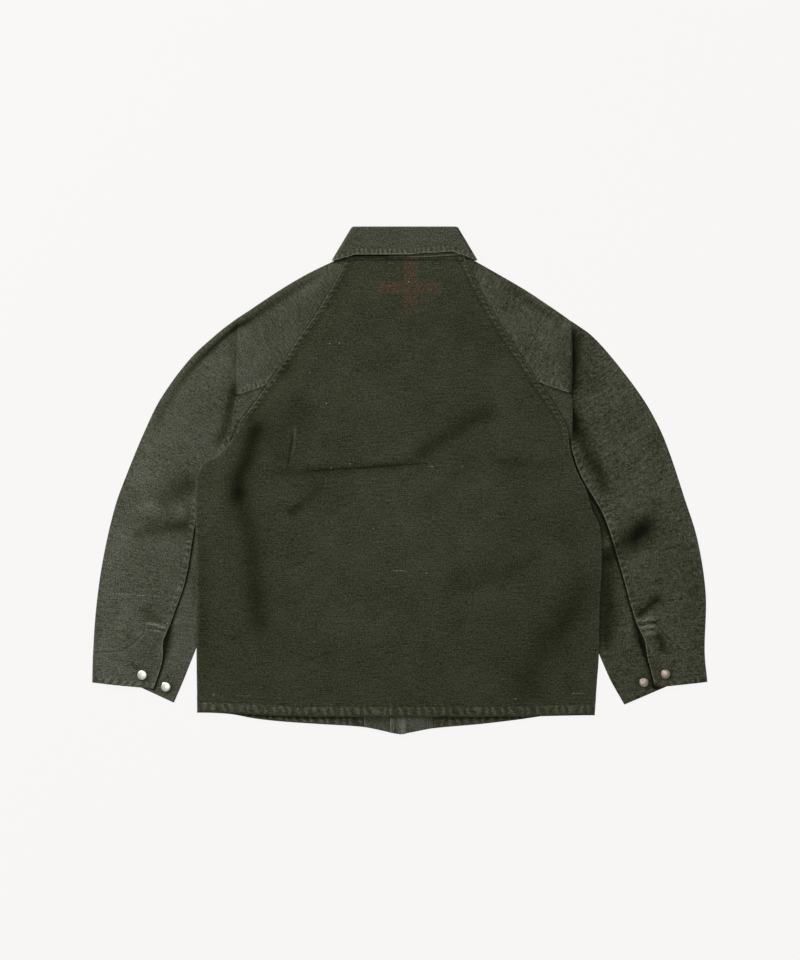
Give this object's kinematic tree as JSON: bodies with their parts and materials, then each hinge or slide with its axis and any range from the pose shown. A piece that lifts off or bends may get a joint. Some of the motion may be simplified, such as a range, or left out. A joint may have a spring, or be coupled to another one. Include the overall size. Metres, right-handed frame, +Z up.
{
  "type": "worn work jacket laid flat",
  "caption": "Worn raglan-sleeve work jacket laid flat with its back up: folded collar, underarm gussets, buttoned cuff vents and a turned hem.",
  "frame": {"origin": "on the surface that the jacket lies on, under the middle of its laid outline", "axes": "+Y towards the collar, +X towards the wearer's right sleeve, +Z up from the surface through the back panel"},
  "size_m": [0.924, 0.7617, 0.0106],
  "materials": {
    "back_cloth": "heavy dark olive slub canvas, worn and faded, with a faded brown plus-shaped mark",
    "front_cloth": "heavy dark olive slub canvas, worn",
    "facing_cloth": "olive canvas, the paler inside face",
    "hem_cloth": "olive canvas, turned hem",
    "collar_cloth": "olive canvas, puckered and faded along its edge",
    "sleeve_cloth": "heavy olive slub canvas, paler than the back",
    "pale_button": "pale nickel tack button, slightly dulled",
    "copper_button": "worn copper-toned tack button"
  },
  "bodies": {
    "root": {"back": "back_cloth", "front_left": "front_cloth", "front_right": "front_cloth", "facing_left": "facing_cloth", "facing_right": "facing_cloth", "front_hem_left": "hem_cloth", "front_hem_right": "hem_cloth", "collar": "collar_cloth", "sleeve_left": "sleeve_cloth", "sleeve_right": "sleeve_cloth", "gusset_left": "sleeve_cloth", "gusset_right": "sleeve_cloth", "button_left_1": "pale_button", "button_left_2": "pale_button", "button_right_1": "copper_button", "button_right_2": "copper_button"}
  },
  "joints": []
}
